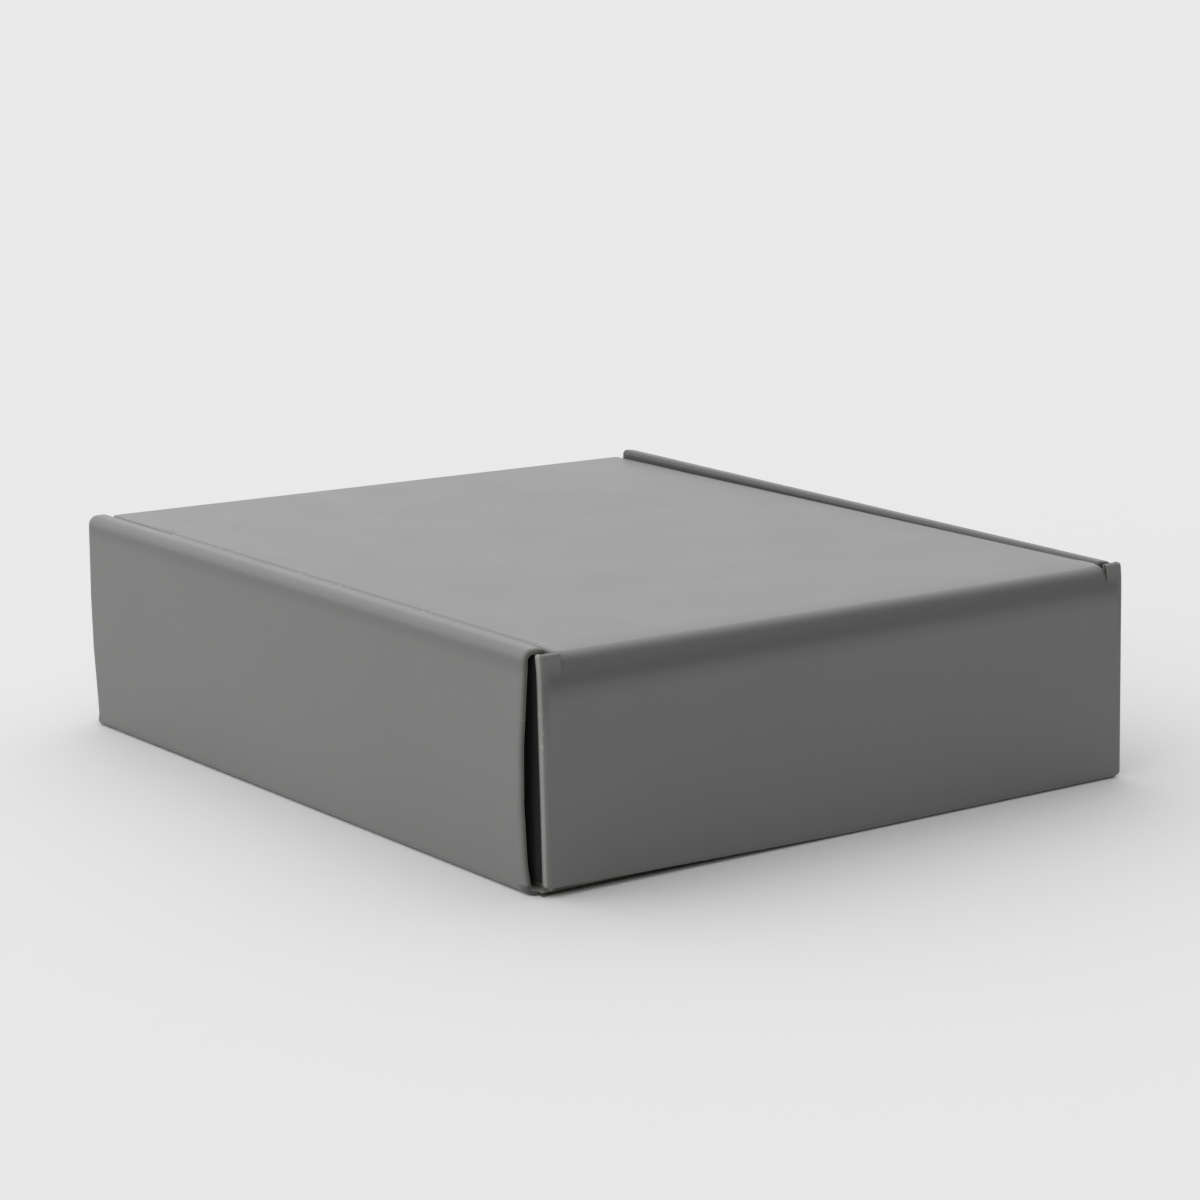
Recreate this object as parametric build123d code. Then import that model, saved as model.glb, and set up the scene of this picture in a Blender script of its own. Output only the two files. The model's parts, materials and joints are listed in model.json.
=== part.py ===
"""Shallow folding box of fluted board, cut and creased from one sheet.

Two side walls are rolled over the ears of the end walls and lock into the floor. The lid is
hinged on a soft fold along the top of the rear wall, lies sunk between the two rolled walls,
and carries a tuck flap along its front and a dust flap along each side.

Millimetres. +Z is up, -Y is the front, where the lid opens, and +X is the left-hand wall of
someone who looks at the box from behind. The origin is the middle of the base.
"""
import os
from math import asin, degrees, pi

from build123d import *

# The board, and the room inside
board = 1.8
inside_width = 254.0
inside_length = 305.0
inside_height = 77.5

# Rolled side walls: outer panel, hollow, inner panel. They stop short of the end walls' faces
roll_gap = 5.0
roll_end_setback = 7.5
roll_edge_radius = 1.5
base_edge_radius = 1.5

# How far the lid lies below the rolled walls, and its sliding room
lid_recess = 3.3
lid_side_clearance = 0.8
lid_front_clearance = 0.5

# The hinge fold between rear wall and lid
hinge_radius = 5.5
hinge_relief = 1.0
hinge_notch = 1.5

# Ears of the end walls, folded into the hollow of the rolled walls
ear_length = 75.0
ear_fold_radius = 2.4
ear_side_gap = 0.3
ear_top_gap = 0.5
ear_floor_gap = 0.4
ear_taper = 9.0
ear_corner_radius = 6.0

# The front wall and its ears end a little below the top face of the lid
front_wall_drop = 1.2

# Lock tabs of the inner panels, through slots in the floor
tab_length = 46.0
tab_spacing = 150.0
tab_foot_gap = 0.25
slot_clearance = 0.3
inner_panel_end_gap = 0.6

# Flaps of the lid
tuck_depth = 45.0
tuck_end_inset = 2.0
tuck_taper = 4.0
tuck_corner_radius = 14.0
tuck_spare_lean = 0.4
dust_depth = 45.0
dust_front_gap = 3.0
dust_rear_inset = 12.0
dust_taper = 10.0
dust_corner_radius = 12.0
flap_crease_gap = 0.3

# Overall size
roll_width = 2 * board + roll_gap
half_width = inside_width / 2 + roll_width
half_length = inside_length / 2 + board
lid_underside = board + inside_height
lid_top = lid_underside + board
height = lid_top + lid_recess

# Shared places
half_inside_width = inside_width / 2
half_inside_length = inside_length / 2
roll_underside = height - board
roll_end = half_length - roll_end_setback
ear_outer_x = half_width - board - ear_side_gap
ear_bend_x = ear_outer_x - ear_fold_radius
ear_bend_y = half_length - ear_fold_radius
ear_top = roll_underside - ear_top_gap
ear_foot = board + ear_floor_gap
front_wall_top = lid_top - front_wall_drop
lid_half_width = half_inside_width - lid_side_clearance
lid_front = -half_inside_length + lid_front_clearance
bend_y = half_length - hinge_radius
bend_z = lid_top - hinge_radius
tab_centre_x = half_inside_width + board / 2

# The lid turns about the line that keeps the length of the fold: a quarter turn carries the
# lid from the level into the plane of the rear wall
middle_radius = hinge_radius - board / 2
hinge_y = bend_y + pi / 4 * middle_radius
hinge_z = bend_z + pi / 4 * middle_radius

# The tuck flap leans in just enough for its tip to swing up past the front wall
tuck_lean = degrees(asin(tuck_depth / (2 * (hinge_y - lid_front)))) + tuck_spare_lean

SIDE_PLANE = Plane(origin=(0, 0, 0), x_dir=(0, 1, 0), z_dir=(1, 0, 0))
END_PLANE = Plane(origin=(0, 0, 0), x_dir=(1, 0, 0), z_dir=(0, -1, 0))


def block(x_range, y_range, z_range):
    """A straight-sided piece of board between the given limits."""
    corner = (x_range[0], y_range[0], z_range[0])
    size = (x_range[1] - x_range[0], y_range[1] - y_range[0], z_range[1] - z_range[0])
    return Pos(*corner) * Box(*size, align=(Align.MIN, Align.MIN, Align.MIN))


def outline_face(points, rounded=(), radius=0.0):
    """A flat outline, with some of its corners rounded."""
    face = make_face(Polyline(*points, close=True))
    if rounded:
        corners = [face.vertices().sort_by_distance(Vector(*p, 0))[0] for p in rounded]
        face = fillet(corners, radius)
    return face


def side_sheet(face, outer_x):
    """A sheet of board in a side plane, its outer face at outer_x. The face is drawn in Y and Z."""
    return extrude(Pos(outer_x - board, 0, 0) * (SIDE_PLANE * face), amount=board)


def end_sheet(face, outer_y):
    """A sheet of board in a plane across Y, its outer face at outer_y, drawn in X and Z."""
    return extrude(Pos(0, outer_y, 0) * (END_PLANE * face), amount=board)


def quarter_bend(x, y, radius):
    """The cross-section of a right-angled fold of the board, its centre at x and y."""
    inner = radius - board
    return make_face([
        Line((x + inner, y), (x + radius, y)),
        CenterArc((x, y), radius, 0, 90),
        Line((x, y + radius), (x, y + inner)),
        CenterArc((x, y), inner, 0, 90),
    ])


def floor_panel():
    """The base sheet, with two slots along each side for the lock tabs."""
    half_x = half_width - board
    floor = block((-half_x, half_x), (-half_inside_length, half_inside_length), (0, board))
    slot_width = board + 2 * slot_clearance
    slot_length = tab_length + 2 * slot_clearance
    for side in (-1, 1):
        for end in (-1, 1):
            place = Pos(side * tab_centre_x, end * tab_spacing / 2, board / 2)
            floor -= place * Box(slot_width, slot_length, 2 * board)
    return floor


def side_outer():
    """The outer panel of the rolled wall at +X, rounded where it folds up from the floor."""
    panel = block((half_width - board, half_width), (-roll_end, roll_end), (0, roll_underside))
    foot = panel.edges().filter_by(Axis.Y).group_by(Axis.Z)[0].sort_by(Axis.X)[-1]
    return fillet(foot, base_edge_radius)


def side_top():
    """The strip along the top of the rolled wall at +X, between its two folds."""
    strip = block((half_inside_width, half_width), (-roll_end, roll_end), (roll_underside, height))
    folds = strip.edges().filter_by(Axis.Y).group_by(Axis.Z)[-1]
    return fillet(folds, roll_edge_radius)


def side_inner():
    """The inner panel of the rolled wall at +X, with the lock tabs along its foot."""
    half_y = half_inside_length - inner_panel_end_gap
    x_range = (half_inside_width, half_inside_width + board)
    panel = block(x_range, (-half_y, half_y), (board, roll_underside))
    for end in (-1, 1):
        middle = end * tab_spacing / 2
        y_range = (middle - tab_length / 2, middle + tab_length / 2)
        panel += block(x_range, y_range, (tab_foot_gap, board))
    return panel


def rear_wall_sheet(top):
    """The flat part of the rear wall up to a height, drawn in X and Z, with its raised ends."""
    shoulder = lid_half_width + hinge_notch
    points = [
        (-ear_bend_x, 0), (ear_bend_x, 0), (ear_bend_x, ear_top), (shoulder, ear_top),
        (shoulder, top), (-shoulder, top), (-shoulder, ear_top), (-ear_bend_x, ear_top),
    ]
    return outline_face(points)


def rounded_foot(wall, outermost):
    """Round the edge along which an end wall folds up from the floor."""
    foot = wall.edges().filter_by(Axis.X).group_by(Axis.Z)[0].sort_by(Axis.Y)[outermost]
    return fillet(foot, base_edge_radius)


def rear_wall():
    """The rear wall, with the soft fold on which the lid is hinged."""
    wall = rounded_foot(end_sheet(rear_wall_sheet(bend_z), half_length), -1)
    fold = Pos(-lid_half_width, 0, 0) * (SIDE_PLANE * quarter_bend(bend_y, bend_z, hinge_radius))
    return wall + extrude(fold, amount=2 * lid_half_width)


def front_wall():
    """The front wall, open along its top for the tuck flap."""
    wall = block((-ear_bend_x, ear_bend_x), (-half_length, board - half_length), (0, front_wall_top))
    return rounded_foot(wall, 0)


def ear(top):
    """An ear of the rear wall's end at +X, with its fold, inside the hollow of the rolled wall."""
    tip = half_length - ear_length
    lower_tip = (tip, ear_foot + ear_taper)
    upper_tip = (tip, top - ear_taper)
    points = [(ear_bend_y, ear_foot), (ear_bend_y, top), upper_tip, lower_tip]
    sheet = side_sheet(outline_face(points, (lower_tip, upper_tip), ear_corner_radius), ear_outer_x)
    bend = Pos(0, 0, ear_foot) * quarter_bend(ear_bend_x, ear_bend_y, ear_fold_radius)
    return sheet + extrude(bend, amount=top - ear_foot)


def lid_panel():
    """The flat top of the lid, from its front crease to the end of the hinge fold."""
    lid = block((-lid_half_width, lid_half_width), (lid_front, bend_y - hinge_relief),
                (lid_underside, lid_top))
    front = lid.edges().filter_by(Axis.X).group_by(Axis.Z)[-1].sort_by(Axis.Y)[0]
    return fillet(front, roll_edge_radius)


def lid_tuck_flap():
    """The flap along the front of the lid, leaning in behind the front wall."""
    half_top = lid_half_width - tuck_end_inset
    half_tip = half_top - tuck_taper
    top = lid_underside - flap_crease_gap
    tips = ((half_tip, lid_underside - tuck_depth), (-half_tip, lid_underside - tuck_depth))
    points = [(-half_top, top), (half_top, top), *tips]
    flap = end_sheet(outline_face(points, tips, tuck_corner_radius), lid_front + board)
    return flap.rotate(Axis((0, lid_front + board, lid_underside), (1, 0, 0)), tuck_lean)


def lid_dust_flap():
    """The flap along the side of the lid at +X, clear of the folded tuck flap."""
    front = lid_front + tuck_depth + dust_front_gap
    rear = bend_y - dust_rear_inset
    top = lid_underside - flap_crease_gap
    tip = lid_underside - dust_depth
    tips = ((rear - dust_taper, tip), (front + dust_taper, tip))
    points = [(front, top), (rear, top), *tips]
    return side_sheet(outline_face(points, tips, dust_corner_radius), lid_half_width)


def other_side(piece):
    """The same piece on the -X side."""
    return mirror(piece, about=Plane.YZ)


def other_end(piece):
    """The same piece at the front."""
    return mirror(piece, about=Plane.XZ)


def all_pieces():
    """Every piece by name. Left and right are those of someone who faces the front."""
    pieces = {
        "floor_panel": floor_panel(),
        "rear_wall": rear_wall(),
        "front_wall": front_wall(),
        "lid_panel": lid_panel(),
        "lid_tuck_flap": lid_tuck_flap(),
    }
    for name, right_piece in (
        ("side_outer", side_outer()),
        ("side_top", side_top()),
        ("side_inner", side_inner()),
        ("rear_ear", ear(ear_top)),
        ("front_ear", other_end(ear(front_wall_top))),
        ("lid_dust_flap", lid_dust_flap()),
    ):
        pieces["right_" + name] = right_piece
        pieces["left_" + name] = other_side(right_piece)
    return pieces


os.makedirs("parts", exist_ok=True)
for node, piece in all_pieces().items():
    export_step(piece, f"parts/{node}.step")
print(f"outside {2 * half_width:.1f} x {2 * half_length:.1f} x {height:.1f} mm")
print(f"lid hinge at y {hinge_y:.3f}, z {hinge_z:.3f}; tuck flap leans {tuck_lean:.2f} degrees")
print(f"tuck crease at y {lid_front + board:.3f}, dust crease at x {lid_half_width - board:.3f},"
      f" both at z {lid_underside:.3f}")
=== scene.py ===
"""A folding box of fluted board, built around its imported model.

Every wall, panel and flap is board as it really is: a grey laminated liner outside, a plain
grey liner inside and a waved paper between them. Lengths are metres in the frame of the
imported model.
"""

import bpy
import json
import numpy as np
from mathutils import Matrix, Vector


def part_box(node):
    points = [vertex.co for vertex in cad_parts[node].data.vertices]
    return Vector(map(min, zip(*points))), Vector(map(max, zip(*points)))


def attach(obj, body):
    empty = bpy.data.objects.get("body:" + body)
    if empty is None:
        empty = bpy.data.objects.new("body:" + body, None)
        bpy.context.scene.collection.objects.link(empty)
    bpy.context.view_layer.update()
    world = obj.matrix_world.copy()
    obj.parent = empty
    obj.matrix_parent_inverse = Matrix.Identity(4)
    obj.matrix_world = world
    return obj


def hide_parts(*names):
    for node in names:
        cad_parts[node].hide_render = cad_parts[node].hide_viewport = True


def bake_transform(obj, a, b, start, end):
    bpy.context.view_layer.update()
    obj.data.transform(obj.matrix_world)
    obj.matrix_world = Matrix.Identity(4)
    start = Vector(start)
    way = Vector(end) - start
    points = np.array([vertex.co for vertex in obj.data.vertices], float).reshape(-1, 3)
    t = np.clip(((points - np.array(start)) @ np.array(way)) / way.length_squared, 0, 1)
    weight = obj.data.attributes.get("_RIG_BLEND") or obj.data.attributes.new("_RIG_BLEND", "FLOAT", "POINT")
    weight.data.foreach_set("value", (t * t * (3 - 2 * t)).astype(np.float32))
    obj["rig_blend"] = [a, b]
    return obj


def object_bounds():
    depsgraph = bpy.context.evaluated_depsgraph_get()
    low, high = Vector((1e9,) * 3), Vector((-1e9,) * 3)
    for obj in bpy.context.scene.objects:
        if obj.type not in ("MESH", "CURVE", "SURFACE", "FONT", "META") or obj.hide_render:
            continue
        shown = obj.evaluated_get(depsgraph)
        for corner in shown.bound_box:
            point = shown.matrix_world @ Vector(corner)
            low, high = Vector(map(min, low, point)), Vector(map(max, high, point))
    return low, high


bl_info = {
    "name": "Folding Archival Box",
    "version": (1, 0, 0),
    "blender": (4, 5, 0),
    "location": "3D View > Sidebar > Box",
    "description": "Builds a roll-walled folding box of laminated fluted board, with a hinged lid",
    "category": "Add Mesh",
}

import json
from math import atan2, cos, exp, pi, radians, sin, sqrt

import bmesh
import bpy
from mathutils import Vector, noise

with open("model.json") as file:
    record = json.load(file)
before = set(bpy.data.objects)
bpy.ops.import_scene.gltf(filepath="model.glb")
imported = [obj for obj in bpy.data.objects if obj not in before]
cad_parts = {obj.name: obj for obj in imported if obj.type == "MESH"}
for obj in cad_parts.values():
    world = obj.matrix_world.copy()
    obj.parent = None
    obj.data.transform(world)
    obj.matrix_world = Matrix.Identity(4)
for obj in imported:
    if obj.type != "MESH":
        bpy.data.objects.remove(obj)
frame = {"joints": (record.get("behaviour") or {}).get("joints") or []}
cad_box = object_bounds()

MM = 0.001

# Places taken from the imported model
HALF_WIDTH = cad_box[1].x
HALF_LENGTH = cad_box[1].y
HEIGHT = cad_box[1].z
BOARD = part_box("floor_panel")[1].z
ROLL_INNER_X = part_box("right_side_inner")[0].x
ROLL_END_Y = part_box("right_side_outer")[1].y
INNER_END_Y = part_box("right_side_inner")[1].y
TAB_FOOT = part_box("right_side_inner")[0].z
EAR_OUTER_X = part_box("right_rear_ear")[1].x
EAR_TIP_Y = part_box("right_rear_ear")[0].y
EAR_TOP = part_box("right_rear_ear")[1].z
FRONT_WALL_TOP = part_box("front_wall")[1].z
LID_LOW, LID_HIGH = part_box("lid_panel")
LID_HALF_WIDTH = LID_HIGH.x
LID_FRONT = LID_LOW.y
LID_TOP = LID_HIGH.z
DUST_LOW, DUST_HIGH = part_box("right_lid_dust_flap")
TUCK_LOW, TUCK_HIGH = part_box("lid_tuck_flap")
JOINTS = {joint["name"]: joint for joint in frame["joints"]}
TUCK_AXIS_Y, TUCK_AXIS_Z = JOINTS["tuck_crease"]["pos_m"][1:]
HINGE_RELIEF = 1.0 * MM
HINGE_RADIUS = HALF_LENGTH - (LID_HIGH.y + HINGE_RELIEF)
BEND_Y = HALF_LENGTH - HINGE_RADIUS
BEND_Z = LID_TOP - HINGE_RADIUS

# Lock tabs and their slots
TAB_LENGTH = 46 * MM
TAB_SPACING = 150 * MM
SLOT_CLEARANCE = 0.3 * MM

# Outlines of the flaps and ears: how far they narrow, and their rounded corners. EAR_SWING is
# the radius of an ear's soft bend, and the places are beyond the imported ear's outer face
TUCK_INSET = 2 * MM
TUCK_TIP_INSET = 6 * MM
TUCK_CORNER = 14 * MM
TUCK_SHORT = 0.6 * MM
DUST_TAPER = 10 * MM
DUST_CORNER = 12 * MM
EAR_TAPER = 9 * MM
EAR_CORNER = 6 * MM
EAR_FOOT_GAP = 0.1 * MM
EAR_SWING = 4 * MM
EAR_TIP_PLACE = -2.7 * MM
REAR_CREST_PLACE = 1.3 * MM
FRONT_CREST_PLACE = -2.3 * MM

# The cut ends of the rolled walls, and the cut beside the hinge fold
REAR_SHORT = 1.6 * MM
FOOT_SPREAD = 3.5 * MM
FOOT_SPREAD_HEIGHT = 16 * MM
END_TAPER = 14 * MM
HINGE_SLIT = 0.06 * MM

# How far the folded board strays from flat, and over what distance
BOW_REACH = 38 * MM
LID_SAG = 0.3 * MM
LID_DRAW = 1.2 * MM
LID_DRAW_REACH = 12 * MM
LID_RISE_REACH = 3.5 * MM
SOFT_SIDE = 9 * MM
SOFT_REACH = 7 * MM
HOLLOW_REACH = 12 * MM
HOLLOW_FADE = 30 * MM
FOOT_LIFT_HEIGHT = 10 * MM
SKEW_FROM = 108 * MM
SKEW_REACH = 22 * MM
SKEW_PIVOTS = (0.9, 0.2)
FRONT_DROP = 4.5 * MM
FRONT_DROP_FROM = 112 * MM
FRONT_DROP_REACH = 14 * MM

# Painted shade on the film, where shade falls beside some folds: how dark, from 0 to 1, and the band below a
# fold
SHOULDER_SHADE = 0.28
ROLL_SHADE = 0.95
HINGE_SHADE = 0.75
EAR_SHADE = 0.5
BAND_DROP = 1.0 * MM
BAND_WIDTH = 4.4 * MM

# Cut edges: how unevenly the die crushes them, and where a crushed edge meets a crease
CRUSH_UNEVEN = 0.16
CRUSH_WAVE = 4 * MM
JOINT_REACH = 4 * MM
JOINT_ROUNDING = 0.95
FADE_REACH = 10 * MM

# Steps of the meshes. LIP is how far a piece reaches past the end of a fold
LIP = 1.0 * MM
EVEN = 20 * MM
CLOSE = 6 * MM
CLOSER = 4 * MM
TINY = 0.02 * MM
CELLS_PER_WAVE = 6
GLUE_GAP = 0.01 * MM
NEAR_A_CUT = (0.12 * MM, 0.35 * MM, 0.65 * MM, 1.1 * MM)
NEAR_A_FOLD = NEAR_A_CUT + (2.5 * MM, 5 * MM, 9 * MM)


def linear(hex_colour):
    """An sRGB hex colour as linear red, green, blue and full alpha."""
    channels = [int(hex_colour[i:i + 2], 16) / 255 for i in (1, 3, 5)]
    return [c / 12.92 if c <= 0.04045 else ((c + 0.055) / 1.055) ** 2.4 for c in channels] + [1.0]


def measure(name, millimetres, description):
    """A length that can be set in the panel."""
    return bpy.props.FloatProperty(
        name=name, description=description, default=millimetres * MM, unit="LENGTH")


def tint(name, hex_colour, description):
    """A colour that can be set in the panel."""
    return bpy.props.FloatVectorProperty(
        name=name, description=description, default=linear(hex_colour), size=4, min=0, max=1,
        subtype="COLOR")


class BoxSizes(bpy.types.PropertyGroup):
    """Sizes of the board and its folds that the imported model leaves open."""

    liner: measure("Liner", 0.32, "Thickness of each outer paper of the board")
    medium: measure("Fluting paper", 0.2, "Thickness of the waved paper")
    flute_pitch: measure("Flute pitch", 3.3, "Length of one wave of the fluting")
    base_radius: measure("Base fold", 2.6, "Outer radius where the walls fold up from the floor")
    roll_radius: measure("Roll fold", 2.0, "Outer radius of the inner fold over each rolled wall")
    shoulder_radius: measure(
        "Roll shoulder", 3.8, "Outer radius of the softer outer fold of each rolled wall")
    roll_sink: measure(
        "Roll sink", 1.6, "How far the left rolled wall is pressed down at its rear end")
    roll_tilt: measure("Roll tilt", 0.9, "How far the top of the left rolled wall falls outwards")
    roll_reach: measure(
        "Roll reach", 5.0, "How far the front end of the right rolled wall reaches on at its top")
    crease_radius: measure("Flap crease", 1.9, "Outer radius where the flaps fold from the lid")
    ear_radius: measure("Ear fold", 1.9, "Outer radius of the pinched fold between end walls and ears")
    ear_slant: bpy.props.FloatProperty(
        name="Ear slant", description="Angle at which an ear dives into the rolled wall from its fold",
        default=radians(42), unit="ROTATION")
    corner_radius: measure("Wall corner", 3.2, "Radius of the lower corners of the end walls")
    bow: measure("Bow", 1.9, "How far the cut ends of the side panels stand out halfway up")
    hinge_softening: measure(
        "Hinge softening", 0.7, "How far the hinge fold is flattened across its shoulder")
    wall_hollow: measure("Wall hollow", 1.5, "How far the rear wall is drawn in below the hinge fold")
    lid_rise: measure("Lid rise", 2.8, "How far the lid stands proud of its rest along its right side")
    lid_rise_left: measure(
        "Left lid rise", 1.3, "How far the hinge fold lifts the left rear of the lid")
    base_lift: measure("Base lift", 3.0, "How far the rear base fold is drawn up at its right end")
    corner_lean: measure("Corner lean", 0.5, "How far the tops of the rear corners lean forward")
    corner_rise: measure(
        "Corner rise", 2.0, "How far the lid's spring draws up the right end of the rear wall")
    wall_skew: measure(
        "Wall skew", 2.4, "How far the ends of the rear wall lean to the right at their top")
    lid_side_gap: measure(
        "Lid side gap", 0.2, "How far the creased sides of the lid lie in from its ends")
    cut_crush: measure(
        "Crushed cut", 1.15, "Radius over which the die rolls the film down at a cut edge")


class BoxColours(bpy.types.PropertyGroup):
    """Colours of the papers and the stage."""

    laminate: tint("Laminate", "#6F706E", "Grey film over the outer liner")
    liner: tint("Liner", "#8C8B87", "Uncoated grey paper of the inner liner")
    fluting: tint("Fluting", "#6A6055", "Waved recycled paper inside the board")
    # painted shade: a near-black colour for the hidden faces of the ears, standing in for the shade in the
    # gaps at the rear corners
    ink: tint("Ink", "#242322", "Dark ink on the hidden faces of the ears")
    stage: tint("Stage", "#DEDEDE", "Pale floor under the box")


# ---- materials

def add_node(tree, kind, inputs=None, **settings):
    """Adds a node, sets its options, and sets or links its inputs."""
    node = tree.nodes.new(kind)
    for name, value in settings.items():
        setattr(node, name, value)
    for socket, value in (inputs or {}).items():
        if isinstance(value, tuple) and isinstance(value[0], bpy.types.Node):
            tree.links.new(value[0].outputs[value[1]], node.inputs[socket])
        else:
            node.inputs[socket].default_value = value
    return node


def new_material(name):
    """An empty node material with its output."""
    material = bpy.data.materials.new(name)
    material.use_nodes = True
    material.node_tree.nodes.clear()
    output = add_node(material.node_tree, "ShaderNodeOutputMaterial")
    return material, material.node_tree, output


def grain(tree, place, size, detail=2.0, roughness=0.5, distortion=0.0):
    """Noise whose features are about size metres across."""
    return add_node(tree, "ShaderNodeTexNoise", {
        "Vector": place, "Scale": 1 / size, "Detail": detail, "Roughness": roughness,
        "Distortion": distortion})


def ramp(tree, value, start, end, low=0.0, high=1.0):
    """A smooth step from low to high as value goes from start to end."""
    return add_node(tree, "ShaderNodeMapRange", {
        "Value": value, "From Min": start, "From Max": end, "To Min": low, "To Max": high},
        interpolation_type="SMOOTHSTEP")


def combine(tree, operation, first, second):
    """Two numbers joined by a sum, a product or the like."""
    return add_node(tree, "ShaderNodeMath", {0: first, 1: second}, operation=operation)


def blend_colour(tree, amount, first, second):
    """The first colour turning into the second by the amount."""
    return add_node(tree, "ShaderNodeMix", {0: amount, 6: first, 7: second}, data_type="RGBA")


def flute_relief(tree, pitch, height):
    """The flutes that show faintly through a liner, as a bump."""
    uv = add_node(tree, "ShaderNodeUVMap", uv_map="Flutes")
    split = add_node(tree, "ShaderNodeSeparateXYZ", {0: (uv, "UV")})
    turns = combine(tree, "MULTIPLY", (split, "X"), 2 * pi / pitch)
    wave = add_node(tree, "ShaderNodeMath", {0: (turns, 0)}, operation="SINE")
    return add_node(tree, "ShaderNodeBump", {
        "Strength": 1.0, "Distance": height, "Height": (wave, 0)})


def satin_laminate(colours, sizes):
    """Grey board under a satin film, laminated in rolls: an even mid grey with a soft, broad
    sheen, faint streaks along the sheet, a few dull specks, and white fibres where it cracks."""
    material, tree, output = new_material("grey_satin_laminate")
    place = (add_node(tree, "ShaderNodeTexCoord"), "Object")
    sheet = (add_node(tree, "ShaderNodeUVMap", uv_map="Sheet"), "UV")
    fold = (add_node(tree, "ShaderNodeAttribute", attribute_name="fold"), "Fac")
    rim = (add_node(tree, "ShaderNodeAttribute", attribute_name="rim"), "Fac")

    # clouds in the ink a few centimetres wide, and a fine tooth of the paper under the film
    clouds = grain(tree, place, 90 * MM, 2.0)
    tooth = grain(tree, place, 0.9 * MM, 2.0)
    grey = list(colours.laminate)
    dark = [c * 0.95 for c in grey[:3]] + [1.0]
    pale = [c * 1.05 for c in grey[:3]] + [1.0]
    mottle = blend_colour(tree, (ramp(tree, (clouds, 0), 0.2, 0.8, 0.2, 0.8), 0), dark, pale)
    speckled = blend_colour(tree, (ramp(tree, (tooth, 0), 0.3, 0.9, 0.0, 0.35), 0),
                            (mottle, 2), pale)

    # streaks that run along the folds, about 1 mm across and 80 mm long
    long_way = add_node(tree, "ShaderNodeMapping", {
        "Vector": sheet, "Scale": (1.0, 1 / 80, 1.0)})
    streaks = grain(tree, (long_way, 0), 1.0 * MM, 1.0)
    streaked = blend_colour(tree, (ramp(tree, (streaks, 0), 0.52, 0.8, 0.0, 0.28), 0),
                            (speckled, 2), pale)

    # small dull specks
    dust = grain(tree, place, 5.5 * MM, 1.0)
    dusted = blend_colour(tree, (ramp(tree, (dust, 0), 0.70, 0.76, 0.0, 0.35), 0),
                          (streaked, 2), dark)

    # painted shade: the film is darkened where shade falls, under the shoulders, on the far roll, on the
    # rear base fold and in a band below the hinge fold
    burnish = (add_node(tree, "ShaderNodeAttribute", attribute_name="burnish"), "Fac")
    shade_colour = [c * 0.42 for c in grey[:3]] + [1.0]
    shaded_colour = blend_colour(tree, burnish, (dusted, 2), shade_colour)

    # on a fold the film pales, and cracks here and there down to white fibre
    stretch = add_node(tree, "ShaderNodeMapRange", {
        "Value": fold, "From Min": 0.7, "From Max": 1.0, "To Min": 0.0, "To Max": 0.5})
    stretched = blend_colour(tree, (stretch, 0), (shaded_colour, 2), linear("#A3A3A0"))
    fold_way = add_node(tree, "ShaderNodeMapping", {"Vector": sheet, "Scale": (1.0, 0.35, 1.0)})
    crack = grain(tree, (fold_way, 0), 1.1 * MM, 3.0, 0.7)
    patch = grain(tree, place, 34 * MM, 1.0)
    cracked = combine(tree, "MULTIPLY", (ramp(tree, (crack, 0), 0.60, 0.68), 0),
                      (ramp(tree, (patch, 0), 0.50, 0.62), 0))
    fold_core = combine(tree, "POWER", fold, 4.0)
    rim_core = combine(tree, "MULTIPLY", rim, 0.2)
    worn = combine(tree, "MAXIMUM", (fold_core, 0), (rim_core, 0))
    fibres = combine(tree, "MULTIPLY", (cracked, 0), (worn, 0))
    colour = blend_colour(tree, (fibres, 0), (stretched, 2), linear("#D9D6CE"))

    sheen = grain(tree, place, 25 * MM, 2.0)
    dull = ramp(tree, (sheen, 0), 0.2, 0.8, 0.43, 0.46)
    flutes = flute_relief(tree, sizes.flute_pitch, 0.003 * MM)
    peel = grain(tree, place, 1.3 * MM, 2.0)
    surface = add_node(tree, "ShaderNodeBump", {
        "Strength": 0.5, "Distance": 0.02 * MM, "Height": (peel, 0), "Normal": (flutes, 0)})
    shader = add_node(tree, "ShaderNodeBsdfPrincipled", {
        "Base Color": (colour, 2), "Roughness": (dull, 0), "IOR": 1.5, "Normal": (surface, 0)})
    tree.links.new(shader.outputs[0], output.inputs[0])
    return material


def uncoated_paper(name, colour, sizes, fibre, contrast, relief):
    """Uncoated paper: matt, with short fibres that lie mostly one way."""
    material, tree, output = new_material(name)
    place = (add_node(tree, "ShaderNodeTexCoord"), "Object")
    sheet = (add_node(tree, "ShaderNodeUVMap", uv_map="Flutes"), "UV")
    lie = add_node(tree, "ShaderNodeMapping", {"Vector": sheet, "Scale": (1.0, 0.3, 1.0)})
    fibres = grain(tree, (lie, 0), fibre, 4.0, 0.65, 0.6)
    clouds = grain(tree, place, 22 * MM, 3.0)
    base = list(colour)
    dark = [c * (1 - contrast) for c in base[:3]] + [1.0]
    pale = [min(1.0, c * (1 + contrast)) for c in base[:3]] + [1.0]
    fibred = blend_colour(tree, (ramp(tree, (fibres, 0), 0.35, 0.65), 0), dark, pale)
    clouded = blend_colour(tree, (ramp(tree, (clouds, 0), 0.3, 0.7, 0.0, 0.35), 0),
                           (fibred, 2), dark)
    flutes = flute_relief(tree, sizes.flute_pitch, relief)
    surface = add_node(tree, "ShaderNodeBump", {
        "Strength": 0.7, "Distance": 0.05 * MM, "Height": (fibres, 0), "Normal": (flutes, 0)})
    shader = add_node(tree, "ShaderNodeBsdfPrincipled", {
        "Base Color": (clouded, 2), "Roughness": 0.88, "IOR": 1.45, "Normal": (surface, 0)})
    tree.links.new(shader.outputs[0], output.inputs[0])
    return material


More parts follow.
